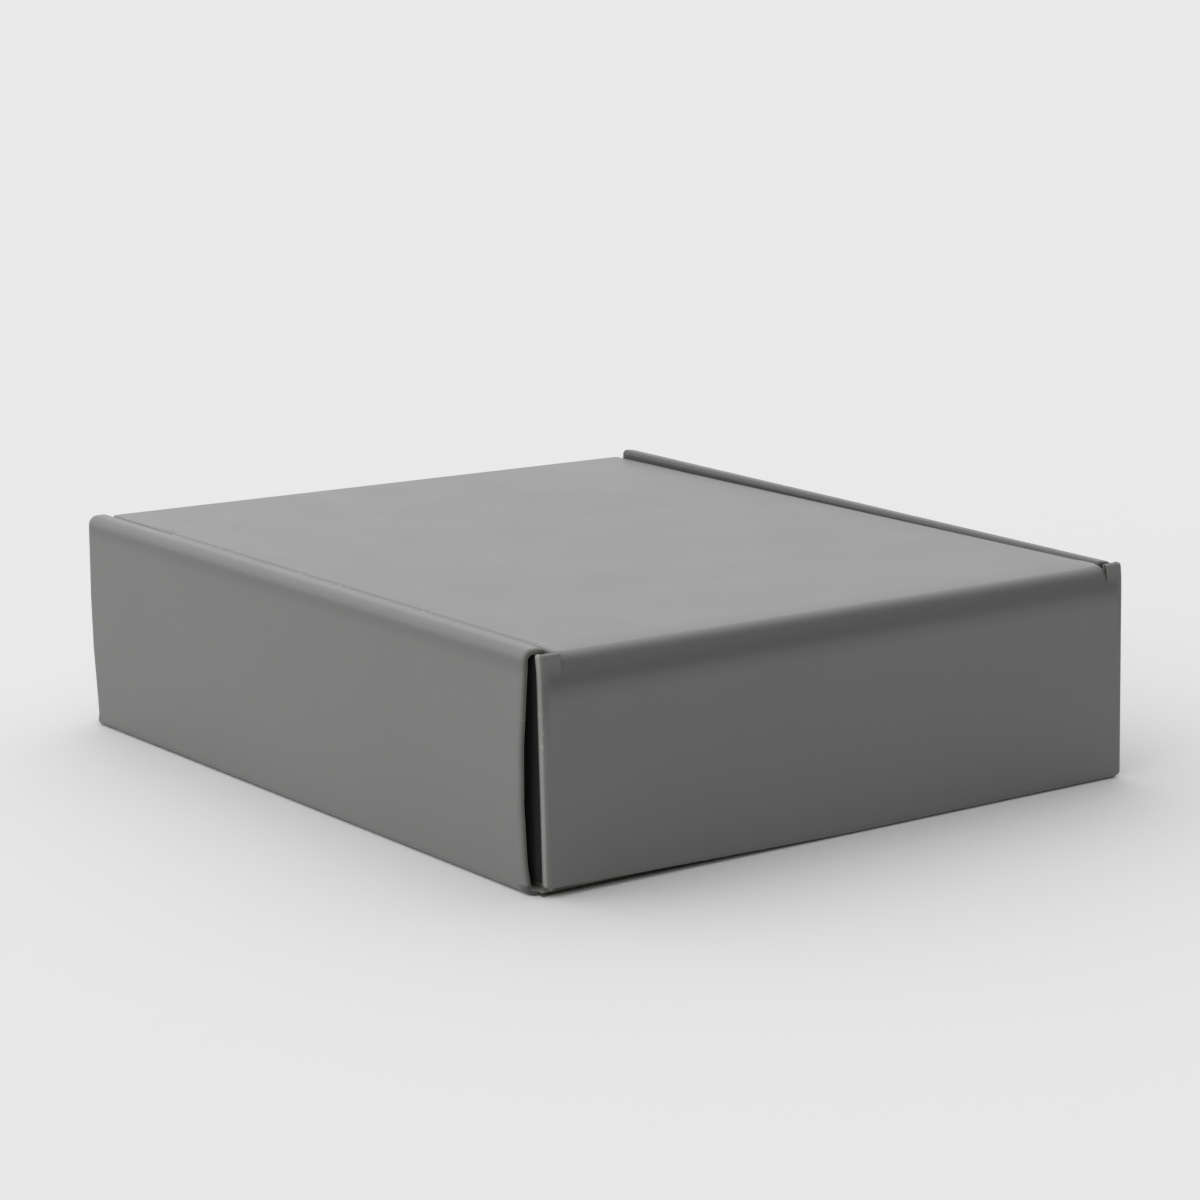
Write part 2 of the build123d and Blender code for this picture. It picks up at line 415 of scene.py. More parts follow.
def board_papers(scene):
    """The papers of the board, made once: film side, plain side, fluting, and ears' painted shade."""
    names = ("grey_satin_laminate", "grey_test_liner", "recycled_fluting_paper", "dark_ink_paper")
    if names[0] not in bpy.data.materials:
        sizes, colours = scene.box_sizes, scene.box_colours
        satin_laminate(colours, sizes)
        # plain liner: mid grey, matt, with the flutes faintly showing through
        uncoated_paper(names[1], colours.liner, sizes, 0.8 * MM, 0.05, 0.03 * MM)
        # recycled fluting: brownish, coarse, with dark and pale fibres
        uncoated_paper(names[2], colours.fluting, sizes, 0.6 * MM, 0.16, 0.0)
        # painted shade: nearly black, dead matt paper on the ears' hidden faces, standing in for the shade
        # in the corner gaps
        uncoated_paper(names[3], colours.ink, sizes, 0.8 * MM, 0.08, 0.02 * MM)
    return [bpy.data.materials[name] for name in names]


# ---- folded sheets

def folded_path(start, heading, moves):
    """A sheet seen edge on: the point and heading at a distance along its outer face.

    moves are (length, turn) pairs. A straight run has no turn, and a fold turns evenly.
    The board lies on the left of the way along it.
    """
    def at(distance):
        x, y = start
        angle, left = heading, distance
        for index, (length, turn) in enumerate(moves):
            step = left if index == len(moves) - 1 else min(left, length)
            if turn:
                radius = length / turn
                x += radius * (sin(angle + step / radius) - sin(angle))
                y -= radius * (cos(angle + step / radius) - cos(angle))
                angle += step / radius
            else:
                x += step * cos(angle)
                y += step * sin(angle)
            left -= step
            if left <= 0:
                break
        return x, y, angle
    return at


def fold(radius, turn=pi / 2):
    """A fold of the board with the given outer radius, as a move along the sheet."""
    return radius * turn, turn


def marks(moves):
    """The distances at which the moves begin and end."""
    places = [0.0]
    for length, _ in moves:
        places.append(places[-1] + length)
    return places


def graded(low, high, spacing=EVEN):
    """Stops from low to high, closer together near both ends."""
    stops = {low, high}
    for gap in NEAR_A_FOLD:
        if high - low > 2 * gap + 10 * TINY:
            stops |= {low + gap, high - gap}
    inner = sorted(stops)
    filled = [inner[0]]
    for stop in inner[1:]:
        count = max(1, round((stop - filled[-1]) / spacing))
        start = filled[-1]
        filled += [start + (stop - start) * k / count for k in range(1, count + 1)]
    return filled


def stops_along(moves, first, last, spacing=EVEN, fold_steps=8):
    """Stops along a folded sheet from first to last: graded on runs, even through folds."""
    found = [first]
    start = 0.0
    for length, turn in moves:
        end = start + length
        if turn:
            inside = [start + length * k / fold_steps for k in range(fold_steps + 1)]
        else:
            inside = graded(start, end, spacing)
        found += [s for s in inside if first + TINY < s < last - TINY and s > found[-1] + TINY]
        start = end
    return found + [last]


def smooth(share):
    """A smooth step from 0 to 1, level at both ends."""
    share = min(1.0, max(0.0, share))
    return share * share * (3 - 2 * share)


class Sheet:
    """A stretch of board that follows a folded path.

    across is the axis of its folds: 0, 1 or 2. mirrored gives the sign of each row axis.
    dent(s, w) is how far the outer face lies in from the path, and fold_places are the
    distances of its folds. warp moves a finished point before it is mirrored, wear is how
    far the film has paled along its folds, and the last argument gives the painted shade at (s, w).
    A fold counts as sharp up to an outer radius of SHARP.
    """

    SHARP = 2.6 * MM

    def __init__(self, moves, start, heading, across, mirrored=(1, 1, 1), dent=None, warp=None,
                 wear=1.0, burnish=None):
        self.moves = moves
        self.path = folded_path(start, heading, moves)
        self.across = across
        self.mirrored = mirrored
        self.dent = dent or (lambda s, w: 0.0)
        self.warp = warp or (lambda place: place)
        self.burnish = burnish or (lambda s, w: 0.0)
        edges = marks(moves)
        self.fold_places = [(edges[i] + edges[i + 1]) / 2
                            for i, (_, turn) in enumerate(moves) if turn > 0]
        self.fold_reach = [length / 2 for length, turn in moves if turn > 0]
        self.sharpness = [wear * min(1.0, (self.SHARP * turn / length) ** 2)
                          for length, turn in moves if turn > 0]

    def point(self, s, w, depth):
        """The place of a point of the board, depth below its outer face."""
        p, q, angle = self.path(s)
        inward = depth + self.dent(s, w)
        plane = [p - sin(angle) * inward, q + cos(angle) * inward]
        plane.insert(self.across, w)
        return [value * sign for value, sign in zip(self.warp(plane), self.mirrored)]

    def fold_nearness(self, s):
        """1 at the middle of a sharp fold, less on a soft one, fading towards the flat board."""
        return max((sharp * exp(-(1.4 * (s - place) / reach) ** 2) for place, reach, sharp in
                    zip(self.fold_places, self.fold_reach, self.sharpness)), default=0.0)


def new_board_mesh():
    """An empty mesh with the layers that the papers' materials read."""
    bm = bmesh.new()
    # the last layer holds the painted shade that darkens the film
    for name in ("along", "across", "fold", "rim", "turned", "burnish"):
        bm.verts.layers.float.new(name)
    bm.loops.layers.uv.new("Sheet")
    bm.loops.layers.uv.new("Flutes")
    return bm


def lay_paper(bm, sheet, s_stops, edges, fractions, depths, finishes, turned, crush, skip=None):
    """Lays one paper: a grid on the sheet, then its thickness. depths(s, w) gives its two faces."""
    layer = bm.verts.layers.float
    rows, columns = len(s_stops) - 1, len(fractions) - 1
    made = bmesh.ops.create_grid(bm, x_segments=rows, y_segments=columns, size=0.5)["verts"]
    for vert in made:
        s = s_stops[round((vert.co.x + 0.5) * rows)]
        low, high = edges(s)
        w = low + (high - low) * fractions[round((vert.co.y + 0.5) * columns)]
        vert[layer["along"]], vert[layer["across"]] = s, w
        vert[layer["fold"]] = sheet.fold_nearness(s)
        vert[layer["rim"]] = 1.0 if crush(s, w) > 0 else 0.0
        vert[layer["turned"]] = turned
        # painted shade at this point of the sheet
        vert[layer["burnish"]] = sheet.burnish(s, w)
    faces = list({face for vert in made for face in vert.link_faces})
    if skip:
        doomed = {face for face in faces if skip(
            sum(v[layer["along"]] for v in face.verts) / 4,
            sum(v[layer["across"]] for v in face.verts) / 4)}
        faces = [face for face in faces if face not in doomed]
        bmesh.ops.delete(bm, geom=list(doomed), context="FACES")
    over = {vert for face in faces for vert in face.verts}
    grown = bmesh.ops.extrude_face_region(bm, geom=faces)["geom"]
    under = {part for part in grown if isinstance(part, bmesh.types.BMVert)}
    for vert in over | under:
        for face in vert.link_faces:
            below = all(corner in under for corner in face.verts)
            face.material_index = finishes[1] if below else finishes[0]
    for verts, side in ((over, 0), (under, 1)):
        for vert in verts:
            s, w = vert[layer["along"]], vert[layer["across"]]
            drop = crush(s, w)
            vert.co = sheet.point(s, w, drop + depths(s, w)[side] * (1 - drop / BOARD))


def lay_board(bm, sizes, sheet, first, last, edges, flutes_along, cut="", skip=None, spacing=EVEN,
              cuts=(), joined=None, fade=None):
    """Lays the three papers of a stretch of board from first to last along a sheet.

    flutes_along says that the flutes run along the sheet, so their waves show at its ends.
    edges(s) gives the two side edges. cut names the edges that are cut, which the die crushes:
    f and l for the first and the last, s for both sides. cuts are further stops across, and
    joined is the stretch where the sides step in and pass on to creases, so aren't cut. The
    crushing fades in from the distance fade, where a cut begins beside a fold.
    """
    liner, medium, pitch = sizes.liner, sizes.medium, sizes.flute_pitch
    low, high = edges((first + last) / 2)
    width = high - low
    across_stops = sorted(set(graded(low, high, spacing)) | set(cuts))
    fractions = [(stop - low) / width for stop in across_stops]
    along_stops = stops_along(sheet.moves, first, last, spacing)
    if "f" in cut:
        along_stops = sorted(set(along_stops) | {first + gap for gap in NEAR_A_CUT})
    if "l" in cut:
        along_stops = sorted(set(along_stops) | {last - gap for gap in NEAR_A_CUT})

    if joined:
        # the sides step in across one narrow cell
        half_step, clear = 0.1 * MM, 0.3 * MM
        steps = {place + step for place in joined for step in (-half_step, half_step)}
        kept = {s for s in along_stops if min(abs(s - place) for place in joined) > clear}
        along_stops = sorted(kept | steps)

    def crush(s, w):
        gaps = [EVEN]
        if "f" in cut:
            gaps.append(s - first)
        if "l" in cut:
            gaps.append(last - s)
        if "s" in cut and not (joined and joined[0] < s < joined[1]):
            low, high = edges(s)
            gaps += [w - low, high - w]
        uneven = 1 + CRUSH_UNEVEN * noise.noise(Vector((s, w, 0.0)) / CRUSH_WAVE)
        radius = sizes.cut_crush * uneven
        if joined:
            near = 1 - smooth(min(abs(s - place) for place in joined) / JOINT_REACH)
            radius += (JOINT_ROUNDING * sizes.crease_radius - radius) * near
        depth = rounded_inset(min(gaps), radius)
        return depth if fade is None else depth * smooth((s - fade) / FADE_REACH)

    plain = dict(edges=edges, turned=1.0 if flutes_along else 0.0, crush=crush, skip=skip)
    lay_paper(bm, sheet, along_stops, fractions=fractions, finishes=(0, 1),
              depths=lambda s, w: (0.0, liner), **plain)
    lay_paper(bm, sheet, along_stops, fractions=fractions, finishes=(1, 1),
              depths=lambda s, w: (BOARD - liner, BOARD), **plain)

    swing = (BOARD - 2 * liner - medium) / 2 - GLUE_GAP
    step = pitch / CELLS_PER_WAVE

    def wave(s, w):
        centre = BOARD / 2 + swing * sin(2 * pi * (w if flutes_along else s) / pitch)
        return centre - medium / 2, centre + medium / 2

    if flutes_along:
        count = round(width / step)
        fractions = [k / count for k in range(count + 1)]
    else:
        count = max(2, round((last - first) / step))
        along_stops = [first + (last - first) * k / count for k in range(count + 1)]
    lay_paper(bm, sheet, along_stops, fractions=fractions, finishes=(2, 2), depths=wave, **plain)


def finish_board(context, bm, name):
    """Turns the papers into an object with their materials, patterns and smooth folds."""
    layer = bm.verts.layers.float
    sheet_uv, flute_uv = bm.loops.layers.uv["Sheet"], bm.loops.layers.uv["Flutes"]
    bmesh.ops.recalc_face_normals(bm, faces=bm.faces)
    for face in bm.faces:
        face.smooth = True
        for loop in face.loops:
            s, w = loop.vert[layer["along"]], loop.vert[layer["across"]]
            loop[sheet_uv].uv = (s, w)
            loop[flute_uv].uv = (w, s) if loop.vert[layer["turned"]] > 0.5 else (s, w)
    mesh = bpy.data.meshes.new(name)
    bm.to_mesh(mesh)
    bm.free()
    mesh.set_sharp_from_angle(angle=radians(40))
    for material in board_papers(context.scene):
        mesh.materials.append(material)
    piece = bpy.data.objects.new(name, mesh)
    context.scene.collection.objects.link(piece)
    return piece


# ---- the walls

def rounded_inset(distance, radius):
    """How far a rounded corner draws an edge in, at a distance from the corner's end."""
    gap = max(0.0, radius - max(0.0, distance))
    return radius - sqrt(max(0.0, radius * radius - gap * gap))


def roll_sheet(sizes, side, bow):
    """The rolled wall: floor lip, outer panel, top strip and inner panel in one folded path."""
    base, roll, shoulder = sizes.base_radius, sizes.roll_radius, sizes.shoulder_radius
    top_width = HALF_WIDTH - ROLL_INNER_X
    moves = [
        (LIP, 0), fold(base), (HEIGHT - base - shoulder, 0), fold(shoulder),
        (top_width - shoulder - roll, 0), fold(roll), (HEIGHT - roll - TAB_FOOT, 0),
    ]
    outer_start, outer_end, strip_start, strip_end = marks(moves)[2:6]

    def dent(s, w):
        if not outer_start < s < outer_end:
            return 0.0
        rise = (s - outer_start) / (outer_end - outer_start)
        at_end = exp(-(max(0.0, ROLL_END_Y - abs(w)) / BOW_REACH) ** 1.3)
        share = 1.0 if w > 0 else 0.5
        return -bow * share * at_end * sin(pi * rise) ** 1.4

    def press(place):
        x, y, z = place
        rear = (y + ROLL_END_Y) / (2 * ROLL_END_Y)
        outward = (x - ROLL_INNER_X) / top_width
        drop = sizes.roll_sink * rear + sizes.roll_tilt * outward if side < 0 else 0.0
        return [x, y, z * (1 - drop / HEIGHT)]

    # painted shade where shade falls: a band under the shoulder, the rear end of the foot, and on the left
    # the top strip and the top of the inner panel
    def burnish(s, w):
        below = outer_end - s
        if s < outer_start + 1 * MM:
            # painted shade on the foot, only in its last few millimetres towards the rear
            return smooth((w - ROLL_END_Y + 5 * MM) / (3 * MM))
        under = SHOULDER_SHADE * exp(-((below - 1.5 * MM) / (2.5 * MM)) ** 2)
        if side > 0:
            return under
        # on the left, painted shade also darkens the top strip and the upper edge of the inner panel
        inner = smooth((s - strip_start + 3 * MM) / (3 * MM))
        inner *= 1 - smooth((s - strip_end - 12 * MM) / (9 * MM))
        return max(under, ROLL_SHADE * inner)

    start = (HALF_WIDTH - base - LIP, 0.0)
    return Sheet(moves, start, 0.0, 1, (side, 1, 1), dent, press, 0.6, burnish)


def hinge_shade_band(below):
    """How much painted shade darkens the film at a distance below the hinge fold."""
    return exp(-((below - BAND_DROP) / BAND_WIDTH) ** 2)


def end_sheet(sizes, end):
    """The end walls, and at the rear also hinge fold, lid and tuck flap, in one folded path."""
    base, crease = sizes.base_radius, sizes.crease_radius
    lean = tuck_lean()
    lid_run = BEND_Y - (LID_FRONT + crease)
    moves = [
        (LIP, 0), fold(base), (BEND_Z - base, 0), fold(HINGE_RADIUS), (lid_run, 0),
        fold(crease, pi / 2 + lean), (tuck_length(), 0),
    ]
    wall_end, lid_start, lid_end = marks(moves)[3:6]
    fold_middle = (wall_end + lid_start) / 2

    def dent(s, w):
        if end < 0 or s > lid_end:
            return 0.0
        from_side = (LID_HALF_WIDTH - abs(w)) / SOFT_SIDE
        below = wall_end - s
        hollow = smooth(below / HOLLOW_REACH + 0.25)
        hollow *= 1 - smooth((below - HOLLOW_REACH) / HOLLOW_FADE)
        hollow *= sizes.wall_hollow * smooth((EAR_OUTER_X - 1.5 * MM - abs(w)) / (14 * MM))
        if from_side < 0:
            return hollow
        soft = smooth(from_side) * exp(-((s - fold_middle) / SOFT_REACH) ** 2)
        share = max(0.0, (s - lid_start) / (lid_end - lid_start))
        sag = LID_SAG * sin(pi * share) * max(0.0, 1 - (w / LID_HALF_WIDTH) ** 2)
        return sizes.hinge_softening * soft + sag + hollow

    # painted shade: the base fold, where the wall is lifted into shadow, and a band below the hinge fold
    def burnish(s, w):
        if end < 0:
            return 0.0
        foot = 1 - smooth((s - LIP - 0.35 * base * pi / 2) / (1.2 * MM))
        inset = smooth((EAR_OUTER_X + 4 * MM - abs(w)) / (8 * MM))
        return max(foot, HINGE_SHADE * inset * hinge_shade_band(wall_end - s))

    start = (HALF_LENGTH - base - LIP, 0.0)
    warp = rear_warp(sizes) if end > 0 else front_warp
    return Sheet(moves, start, 0.0, 0, (1, end, 1), dent, warp, burnish=burnish)


def lid_warp(sizes, mirror=1):
    """Lifts the lid and its flaps the way the spring of the board holds them, mostly at +X.

    Where it is lifted, its front edge draws back from the front wall.
    """
    def lift(place):
        x, y, z = place
        right = min(1.0, max(0.0, (mirror * x / LID_HALF_WIDTH + 1) / 2))
        rear = min(1.0, max(0.0, 1 + (y - BEND_Y) / (BEND_Y - LID_FRONT)))
        rise = sizes.lid_rise * right + sizes.lid_rise_left * (1 - right) * rear
        share = 1.0 if y < BEND_Y else smooth((z - BEND_Z) / LID_RISE_REACH)
        front = smooth((LID_FRONT + LID_DRAW_REACH - y) / LID_DRAW_REACH)
        return [x, y + LID_DRAW * right * front, z + rise * share]
    return lift


def rear_warp(sizes, mirror=1, ear=False):
    """Draws the rear wall up at its lower right corner and leans its ends forward and sideways.

    An ear also takes the curve of the base fold, so that its foot meets the wall. Each end
    leans sideways about its own height, which SKEW_PIVOTS gives as a share, right end first.
    """
    foot, lean_from = FOOT_LIFT_HEIGHT, BEND_Z - LIP
    lifted = lid_warp(sizes, mirror)

    def shape(place):
        x, y, z = place
        if ear:
            y -= rounded_inset(z, sizes.base_radius)
        if ear or abs(x) > LID_HALF_WIDTH + HINGE_SLIT / 2:
            rise = max(0.0, z - lean_from) / (EAR_TOP - lean_from)
            y -= sizes.corner_lean * rise * rise
        elif z > lean_from or y < 0:
            x, y, z = lifted([x, y, z])
        beyond = smooth((y - ROLL_END_Y + 2 * MM) / (5 * MM))
        beyond *= smooth((abs(x) - SKEW_FROM) / SKEW_REACH)
        pivot = SKEW_PIVOTS[0] if mirror * x > 0 else SKEW_PIVOTS[1]
        skew = sizes.wall_skew * (z / EAR_TOP - pivot)
        x += mirror * skew * beyond
        if z < foot and y > 0:
            z += sizes.base_lift * max(0.0, mirror * x / HALF_WIDTH) * (1 - z / foot) ** 2
        return [x, y, z]
    return shape


def front_warp(place):
    """Lowers the upper corners of the front wall and its ears."""
    x, y, z = place
    outward = smooth((abs(x) - FRONT_DROP_FROM) / FRONT_DROP_REACH)
    return [x, y, z - FRONT_DROP * outward * (z / FRONT_WALL_TOP) ** 12]


def tuck_lean():
    """How far the tuck flap leans in from upright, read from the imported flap."""
    depth = TUCK_AXIS_Z - TUCK_LOW.z
    tip_inner = TUCK_HIGH.y - TUCK_AXIS_Y
    return atan2(tip_inner, depth)


def tuck_length():
    """Length of the tuck flap's outer face below its crease."""
    return (TUCK_AXIS_Z - TUCK_LOW.z) / cos(tuck_lean()) - TUCK_SHORT


def make_floor(context):
    """The flat base between the folds of the walls, with its four lock slots."""
    sizes = context.scene.box_sizes
    half_y = HALF_LENGTH - sizes.base_radius - LIP
    half_x = HALF_WIDTH - sizes.base_radius - LIP
    sheet = Sheet([(2 * half_y, 0)], (-half_y, 0.0), 0.0, 0)
    slot_half = BOARD / 2 + SLOT_CLEARANCE
    slot_x = ROLL_INNER_X + BOARD / 2
    tab_half = TAB_LENGTH / 2 + SLOT_CLEARANCE
    slot_ends = [half_y + end * TAB_SPACING / 2 + side * tab_half
                 for end in (-1, 1) for side in (-1, 1)]

    def in_slot(s, w):
        near_slot = abs(abs(w) - slot_x) < slot_half
        return near_slot and abs(abs(s - half_y) - TAB_SPACING / 2) < tab_half

    bm = new_board_mesh()
    cuts = [side * (slot_x + edge * slot_half) for side in (-1, 1) for edge in (-1, 1)]
    # the path is cut into runs at the ends of the slots, so that the slots come out square
    runs = [0.0] + sorted(slot_ends) + [2 * half_y]
    sheet.moves = [(b - a, 0) for a, b in zip(runs, runs[1:])]
    lay_board(bm, sizes, sheet, 0.0, 2 * half_y, lambda s: (-half_x, half_x), False,
              skip=in_slot, cuts=cuts)
    piece = finish_board(context, bm, "floor_board")
    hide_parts("floor_panel")
    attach(piece, "tray")


def make_rolled_wall(context, side):
    """Outer panel, top strip and inner panel of the rolled wall on one side."""
    sizes = context.scene.box_sizes
    name = "right" if side > 0 else "left"
    sheet = roll_sheet(sizes, side, sizes.bow * (1.0 if side > 0 else 0.2))
    places = marks(sheet.moves)
    outer_end, top_end, foot = places[3] - LIP, places[6] + LIP, places[7]
    reach = sizes.roll_reach if side > 0 else 0.4 * sizes.roll_reach
    short = REAR_SHORT if side > 0 else 0.0

    def full(s):
        spread = FOOT_SPREAD * max(0.0, 1 - s / FOOT_SPREAD_HEIGHT) ** 2
        on = max(spread, reach * (0.1 + 0.9 * min(1.0, s / outer_end)))
        return -ROLL_END_Y - on, ROLL_END_Y - short + spread

    def strip(s):
        return -ROLL_END_Y - reach, ROLL_END_Y - short

    def between_walls(s):
        low, high = strip(s)
        share = smooth((s - top_end) / END_TAPER)
        return low + (-INNER_END_Y - low) * share, high + (INNER_END_Y - high) * share

    floor_line = foot - (BOARD - TAB_FOOT)
    tab_edges = [end * TAB_SPACING / 2 + edge * TAB_LENGTH / 2
                 for end in (-1, 1) for edge in (-1, 1)]

    def beside_tabs(s, w):
        return s > floor_line and abs(abs(w) - TAB_SPACING / 2) > TAB_LENGTH / 2

    for label, first, last, edges, cut, skip, cuts in (
        ("outer", 0.0, outer_end, full, "s", None, ()),
        ("top", outer_end, top_end, strip, "s", None, ()),
        ("inner", top_end, foot, between_walls, "sl", beside_tabs, tab_edges),
    ):
        bm = new_board_mesh()
        if label == "inner":
            sheet.moves = sheet.moves[:6] + [(floor_line - places[6], 0), (foot - floor_line, 0)]
        lay_board(bm, sizes, sheet, first, last, edges, True, cut, skip, cuts=cuts)
        piece = finish_board(context, bm, f"{name}_roll_{label}_board")
        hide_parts(f"{name}_side_{label}")
        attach(piece, "tray")


def ear_moves(sizes, end):
    """The path of an ear's outer face seen from above, from its tip to the end wall.

    It runs straight inside the rolled wall, slants out to the corner, and folds sharply back.
    The front ears keep to the inside of the rolled walls, which cover them.
    """
    radius = sizes.ear_radius
    slant = sizes.ear_slant if end > 0 else sizes.ear_slant / 4
    tip_x = EAR_OUTER_X + EAR_TIP_PLACE
    crest_x = EAR_OUTER_X + (REAR_CREST_PLACE if end > 0 else FRONT_CREST_PLACE)
    out = crest_x - radius * (1 - cos(slant)) - tip_x - EAR_SWING * (1 - cos(slant))
    slope = out / sin(slant)
    depth = radius * (1 + sin(slant)) + slope * cos(slant) + EAR_SWING * sin(slant)
    run = HALF_LENGTH - EAR_TIP_Y - depth
    moves = [(run, 0), (EAR_SWING * slant, -slant), (slope, 0), fold(radius, pi / 2 + slant),
             (LIP, 0)]
    return moves, tip_x, crest_x - radius


def raised_top(sizes, side):
    """Height of the rear wall's raised ends, beyond the rolled walls."""
    return EAR_TOP + sizes.corner_rise * (1.0 if side > 0 else 0.45)


def make_end_wall(context, end):
    """The front wall, or the rear wall up to the hinge fold with a raised end on each side."""
    sizes = context.scene.box_sizes
    name = "rear" if end > 0 else "front"
    sheet = end_sheet(sizes, end)
    places = marks(sheet.moves)
    ear_bend = ear_moves(sizes, end)[2]
    wall_foot = places[2] - sizes.base_radius
    flat = Sheet(sheet.moves[:2] + [(HEIGHT - sizes.base_radius, 0)],
                 (HALF_LENGTH - sizes.base_radius - LIP, 0.0), 0.0, 0, (1, end, 1), sheet.dent,
                 sheet.warp, burnish=sheet.burnish)

    def between_ears(s):
        return -ear_bend + LIP, ear_bend - LIP

    bm = new_board_mesh()
    if end > 0:
        upper = places[3] - LIP
        shoulder = LID_HALF_WIDTH + HINGE_SLIT
        lay_board(bm, sizes, sheet, 0.0, upper, between_ears, False, spacing=CLOSER)
        for side in (-1, 1):
            def raised(s, side=side):
                pair = (side * shoulder, side * (ear_bend - LIP))
                return min(pair), max(pair)
            top = raised_top(sizes, side)
            lay_board(bm, sizes, flat, upper, wall_foot + top, raised, False, "l")
    else:
        lay_board(bm, sizes, flat, 0.0, wall_foot + FRONT_WALL_TOP, between_ears, False, "l")
    piece = finish_board(context, bm, f"{name}_wall_board")
    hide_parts(f"{name}_wall")
    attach(piece, "tray")


def make_ear(context, side, end):
    """An ear, from its tip inside the rolled wall round the upright fold to the end wall."""
    sizes = context.scene.box_sizes
    moves, tip_x, fold_x = ear_moves(sizes, end)
    crest_x, slanted = fold_x + sizes.ear_radius, moves[1][0] + moves[2][0]

    # painted shade: the band below the hinge fold, carried onto the rear ears
    def burnish(s, w):
        return EAR_SHADE * hinge_shade_band(BEND_Z - w) if end > 0 else 0.0

    sheet = Sheet(moves, (tip_x, EAR_TIP_Y), pi / 2, 2, (side, end, 1), burnish=burnish,
                  warp=rear_warp(sizes, side, ear=True) if end > 0 else front_warp)
    run, whole = moves[0][0], marks(moves)[-1]
    inside_top = EAR_TOP if end > 0 else FRONT_WALL_TOP
    if side < 0 < end:
        inside_top -= sizes.roll_sink + sizes.roll_tilt
    top = raised_top(sizes, side) if end > 0 else FRONT_WALL_TOP

    def edges(s):
        narrow = EAR_TAPER * max(0.0, 1 - s / run) + rounded_inset(s, EAR_CORNER)
        foot = BOARD + EAR_FOOT_GAP
        if s > run + slanted:
            inward = max(0.0, crest_x - sheet.path(s)[0])
            foot = min(foot, rounded_inset(inward, sizes.corner_radius))
        inside = smooth((run + slanted - s) / (5 * MM))
        return foot + narrow, top + (inside_top - top) * inside - narrow

    bm = new_board_mesh()
    lay_board(bm, sizes, sheet, 0.0, whole, edges, True, "fs")
    # painted shade: the outer face is nearly black as far as the fold, where the gap at the corner lies in
    # shade
    along = bm.verts.layers.float["along"]
    for face in bm.faces:
        hidden = all(v[along] < run + slanted + TINY for v in face.verts)
        if face.material_index == 0 and hidden:
            face.material_index = 3
    names = ("right" if side > 0 else "left", "rear" if end > 0 else "front")
    piece = finish_board(context, bm, "{}_{}_ear_board".format(*names))
    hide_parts("{}_{}_ear".format(*names))
    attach(piece, "tray")


# ---- the lid

def make_hinge_fold(context):
    """The soft fold between rear wall and lid, which bends as the lid opens."""
    sizes = context.scene.box_sizes
    sheet = end_sheet(sizes, 1)
    places = marks(sheet.moves)
    bm = new_board_mesh()
    lay_board(bm, sizes, sheet, places[3] - LIP, places[4] + LIP,
              lambda s: (-LID_HALF_WIDTH, LID_HALF_WIDTH), False, "s", fade=places[3] - LIP)
    piece = finish_board(context, bm, "hinge_fold_board")
    start = (0.0, HALF_LENGTH, BEND_Z)
    end = (0.0, BEND_Y, LID_TOP)
    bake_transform(piece, "tray", "lid", start, end)


def make_lid(context):
    """The flat of the lid. Its sides are cut back where the creases of the dust flaps begin."""
    sizes = context.scene.box_sizes
    sheet = end_sheet(sizes, 1)
    places = marks(sheet.moves)
    back = LID_HALF_WIDTH - sizes.lid_side_gap - sizes.crease_radius - LIP
    flap_from = places[4] + BEND_Y - DUST_HIGH.y
    flap_to = places[4] + BEND_Y - DUST_LOW.y

    def edges(s):
        half = back if flap_from < s < flap_to else LID_HALF_WIDTH
        return -half, half

    first, last = places[4] + LIP, places[5] - LIP
    bm = new_board_mesh()
    lay_board(bm, sizes, sheet, first, last, edges, False, "s", joined=(flap_from, flap_to))
    piece = finish_board(context, bm, "lid_board")
    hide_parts("lid_panel")
    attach(piece, "lid")


def make_tuck_flap(context):
    """The tuck flap and its crease along the front of the lid."""
    sizes = context.scene.box_sizes
    sheet = end_sheet(sizes, 1)
    places = marks(sheet.moves)
    half_top, half_tip = LID_HALF_WIDTH - TUCK_INSET, LID_HALF_WIDTH - TUCK_TIP_INSET
    tip = places[7]

    def edges(s):
        share = min(1.0, max(0.0, (s - places[6]) / (tip - places[6])))
        half = half_top + (half_tip - half_top) * share - rounded_inset(tip - s, TUCK_CORNER)
        if s < places[6]:
            share = (s - places[5] + LIP) / (places[6] - places[5] + LIP)
            half = LID_HALF_WIDTH + (half_top - LID_HALF_WIDTH) * share
        return -half, half

    bm = new_board_mesh()
    lay_board(bm, sizes, sheet, places[6] + LIP, tip, edges, False, "ls", spacing=CLOSE)
    piece = finish_board(context, bm, "tuck_flap_board")
    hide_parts("lid_tuck_flap")
    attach(piece, "tuck_flap")

    bm = new_board_mesh()
    lay_board(bm, sizes, sheet, places[5] - LIP, places[6] + LIP, edges, False, "s")
    piece = finish_board(context, bm, "tuck_crease_board")
    crease = sizes.crease_radius
    start = (0.0, LID_FRONT + crease, LID_TOP)
    end = (0.0, LID_FRONT, LID_TOP - crease)
    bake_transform(piece, "lid", "tuck_flap", start, end)


